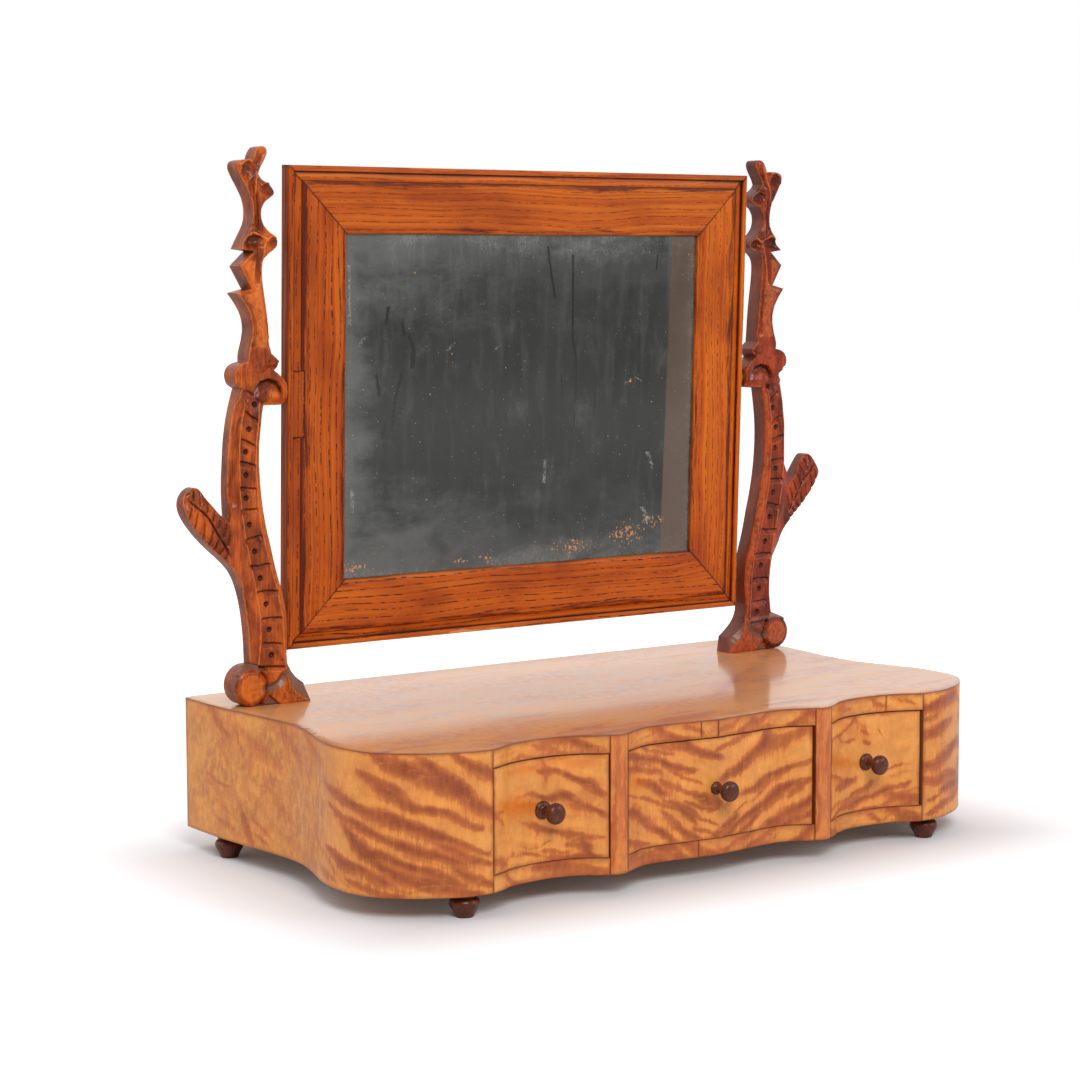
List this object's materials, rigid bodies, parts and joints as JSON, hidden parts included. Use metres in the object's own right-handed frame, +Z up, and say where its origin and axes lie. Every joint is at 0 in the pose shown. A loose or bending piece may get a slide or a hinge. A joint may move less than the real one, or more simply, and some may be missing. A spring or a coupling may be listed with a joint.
{
  "type": "toilet mirror with drawers",
  "caption": "Tilting rectangular mirror between carved posts on a low serpentine-fronted case with drawers and small turned feet.",
  "frame": {"origin": "on the surface that the feet stand on, under the middle of the whole mirror and case", "axes": "+X to the right as one faces the drawers, +Y towards the back, +Z up; the drawers open towards -Y"},
  "size_m": [0.5876, 0.3212, 0.5135],
  "materials": {
    "flame_birch": "flame-figured birch veneer, polished, honey and reddish brown",
    "pilaster_birch": "plain birch strip, pinkish orange, polished",
    "pine": "unfinished pine with age, dull",
    "stained_birch": "carved birch stained red-brown, varnished, worn on the edges",
    "frame_ash": "ring-porous ash stained orange-brown, varnished",
    "ebonised_birch": "turned wood stained nearly black, satin",
    "steel": "dull drawn wire",
    "brass": "tarnished sheet",
    "old_mirror": "old silvered glass, dark and crazed"
  },
  "bodies": {
    "case": {"case_bottom": "pine", "case_top": "pine", "case_back": "pine", "side_left": "pine", "side_right": "pine", "partition_left": "pine", "partition_right": "pine", "pilaster_left": "pilaster_birch", "pilaster_right": "pilaster_birch", "guide_left": "pine", "guide_right": "pine", "drawer_stops": "pine", "top_veneer": "flame_birch", "side_veneer_left": "flame_birch", "side_veneer_right": "flame_birch", "upper_rail_veneer": "flame_birch", "lower_rail_veneer": "flame_birch", "foot_front_left": "ebonised_birch", "foot_front_right": "ebonised_birch", "foot_back_left": "ebonised_birch", "foot_back_right": "ebonised_birch", "post_left": "stained_birch", "post_right": "stained_birch", "pivot_pin_left": "steel", "pivot_pin_right": "steel", "pivot_washer_left": "brass", "pivot_washer_right": "brass"},
    "mirror": {"stile_left": "frame_ash", "stile_right": "frame_ash", "frame_rail_top": "frame_ash", "frame_rail_bottom": "frame_ash", "mirror_glass": "old_mirror", "backboard": "pine", "glazing_brads": "steel"},
    "drawer_left": {"left_drawer_front": "pine", "left_drawer_veneer": "flame_birch", "left_drawer_side_outer": "pine", "left_drawer_side_inner": "pine", "left_drawer_back": "pine", "left_drawer_bottom": "pine", "left_drawer_knob": "ebonised_birch"},
    "drawer_centre": {"centre_drawer_front": "pine", "centre_drawer_veneer": "flame_birch", "centre_drawer_side_left": "pine", "centre_drawer_side_right": "pine", "centre_drawer_back": "pine", "centre_drawer_bottom": "pine", "centre_drawer_knob": "ebonised_birch"},
    "drawer_right": {"right_drawer_front": "pine", "right_drawer_veneer": "flame_birch", "right_drawer_side_inner": "pine", "right_drawer_side_outer": "pine", "right_drawer_back": "pine", "right_drawer_bottom": "pine", "right_drawer_knob": "ebonised_birch"}
  },
  "joints": [
    {"name": "left_drawer_slide", "type": "slide", "parent": "case", "child": "drawer_left", "axis": [0, -1, 0], "range_m": [0, 0.2]},
    {"name": "centre_drawer_slide", "type": "slide", "parent": "case", "child": "drawer_centre", "axis": [0, -1, 0], "range_m": [0, 0.2]},
    {"name": "right_drawer_slide", "type": "slide", "parent": "case", "child": "drawer_right", "axis": [0, -1, 0], "range_m": [0, 0.2]},
    {"name": "mirror_tilt", "type": "hinge", "parent": "case", "child": "mirror", "pos_m": [0, 0.09865, 0.3385], "axis": [1, 0, 0], "continuous": true}
  ]
}
